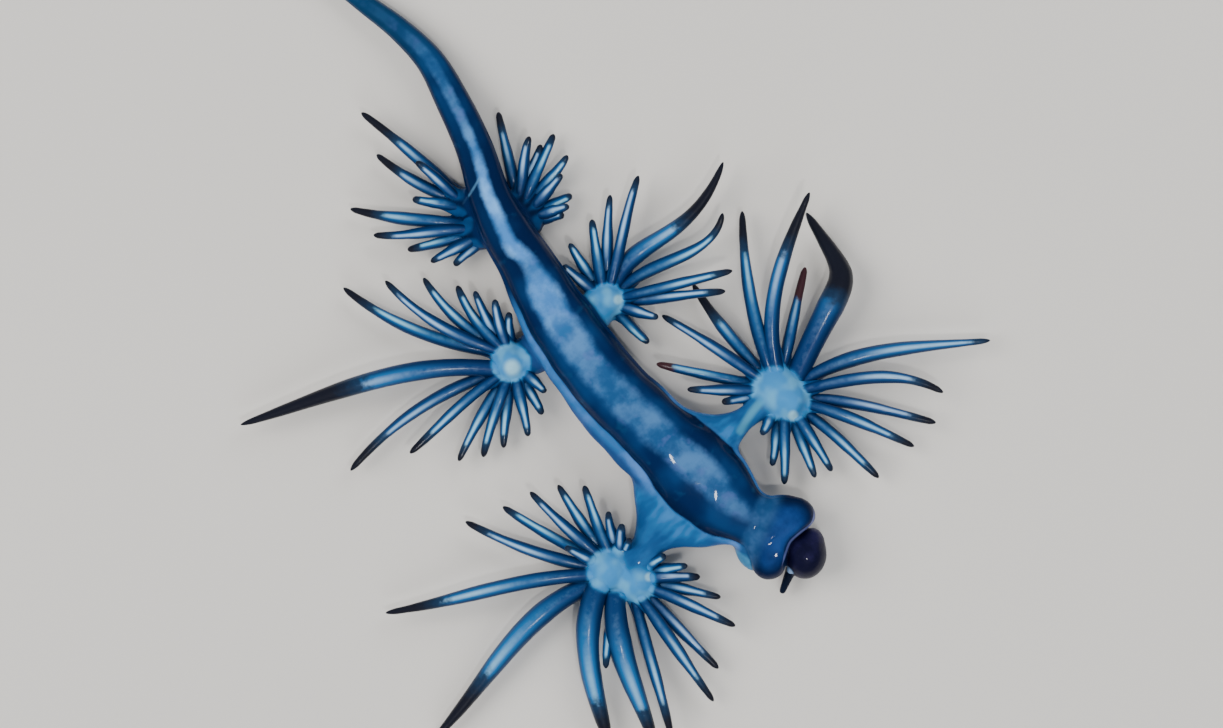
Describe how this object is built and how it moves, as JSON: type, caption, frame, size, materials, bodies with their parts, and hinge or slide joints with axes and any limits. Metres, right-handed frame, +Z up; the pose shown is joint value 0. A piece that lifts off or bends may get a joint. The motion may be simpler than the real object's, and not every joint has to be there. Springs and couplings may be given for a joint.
{
  "type": "blue dragon sea slug",
  "caption": "Life-size blue dragon sea slug lying on its back, foot upward, tapering tail, arms spread in fans of pointed cerata.",
  "frame": {"origin": "middle of the bounding box seen from above, on the surface that the animal lies on", "axes": "+Z up, the way the foot faces; -Y towards the head and +Y towards the tail; +X to the right with the head towards the viewer's near side"},
  "size_m": [0.0342, 0.0434, 0.0034],
  "materials": {
    "foot": "wet skin, navy with a silver-blue band along the middle of the foot",
    "head": "wet skin, deep blue with a pale lilac rim",
    "mouth": "wet skin, near-black violet",
    "arm": "wet skin, light blue",
    "cerata": "wet skin, teal-blue with a silvery streak and charcoal tips"
  },
  "bodies": {
    "root": {"body_front": "foot", "body_middle": "foot", "body_rear": "foot", "tail_base": "foot", "tail_middle": "foot", "tail_tip": "foot", "head": "head", "mouth": "mouth", "oral_tentacle_left": "mouth", "oral_tentacle_right": "mouth", "rhinophore_left": "mouth", "rhinophore_right": "mouth", "arm_front_left": "arm", "arm_front_right": "arm", "cerata_front_left": "cerata", "cerata_front_right": "cerata", "cerata_middle_left": "cerata", "cerata_middle_right": "cerata", "cerata_rear_left": "cerata", "cerata_rear_right": "cerata"}
  },
  "joints": []
}
